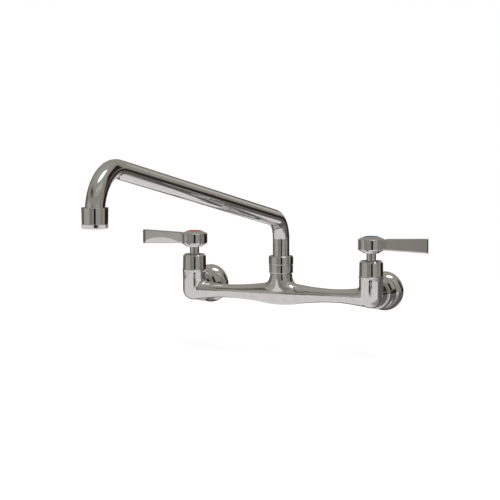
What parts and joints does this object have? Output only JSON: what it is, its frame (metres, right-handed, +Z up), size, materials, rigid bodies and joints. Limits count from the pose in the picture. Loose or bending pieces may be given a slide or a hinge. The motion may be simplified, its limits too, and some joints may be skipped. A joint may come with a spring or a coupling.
{
  "type": "wall mounted mixing faucet",
  "caption": "Chromed wall faucet: slim waisted bar between lever valves on round wall flanges, centre post with a long swinging spout that rises, then turns down to a round outlet.",
  "frame": {"origin": "midway between the two inlet axes, on the finished wall surface", "axes": "+Y into the wall along the inlet axes, +Z up, +X to the right seen from the front; the spout points along -Y at rest"},
  "size_m": [0.3264, 0.4611, 0.1721],
  "materials": {
    "chrome_plate": "polished chrome plate",
    "brass": "machined, unplated",
    "rubber": "matte",
    "ceramic": "lapped",
    "nylon": "moulded",
    "steel": "plain",
    "index_red": "glossy",
    "index_blue": "glossy"
  },
  "bodies": {
    "body": {"mixing_body": "chrome_plate", "hot_inlet_coupling": "brass", "cold_inlet_coupling": "brass", "hot_inlet_washer": "rubber", "cold_inlet_washer": "rubber", "hot_coupling_nut": "chrome_plate", "cold_coupling_nut": "chrome_plate", "hot_wall_flange": "chrome_plate", "cold_wall_flange": "chrome_plate", "hot_cartridge_housing": "brass", "cold_cartridge_housing": "brass", "hot_housing_oring": "rubber", "cold_housing_oring": "rubber", "hot_seat_seal": "rubber", "cold_seat_seal": "rubber", "hot_fixed_disc": "ceramic", "cold_fixed_disc": "ceramic", "hot_bonnet_nut": "chrome_plate", "cold_bonnet_nut": "chrome_plate", "swivel_nut": "chrome_plate", "swivel_washer": "nylon", "friction_ring": "nylon"},
    "hot_handle": {"hot_lever": "chrome_plate", "hot_spindle": "chrome_plate", "hot_moving_disc": "ceramic", "hot_thrust_washer": "nylon", "hot_spindle_orings": "rubber", "hot_handle_screw": "steel", "hot_index_button": "index_red"},
    "cold_handle": {"cold_lever": "chrome_plate", "cold_spindle": "chrome_plate", "cold_moving_disc": "ceramic", "cold_thrust_washer": "nylon", "cold_spindle_orings": "rubber", "cold_handle_screw": "steel", "cold_index_button": "index_blue"},
    "spout": {"spout_tube": "chrome_plate", "spout_base": "brass", "spout_orings": "rubber", "outlet_bushing": "brass", "aerator_housing": "chrome_plate", "aerator_washer": "rubber", "aerator_insert": "nylon", "aerator_screen": "steel"}
  },
  "joints": [
    {"name": "spout_swing", "type": "hinge", "parent": "body", "child": "spout", "pos_m": [0, -0.043, 0.02], "axis": [0, 0, 1], "range_deg": [-90, 90]},
    {"name": "hot_valve", "type": "hinge", "parent": "body", "child": "hot_handle", "pos_m": [-0.1016, -0.043, 0.045], "axis": [0, 0, 1], "range_deg": [0, 90]},
    {"name": "cold_valve", "type": "hinge", "parent": "body", "child": "cold_handle", "pos_m": [0.1016, -0.043, 0.045], "axis": [0, 0, 1], "range_deg": [-90, 0]}
  ]
}
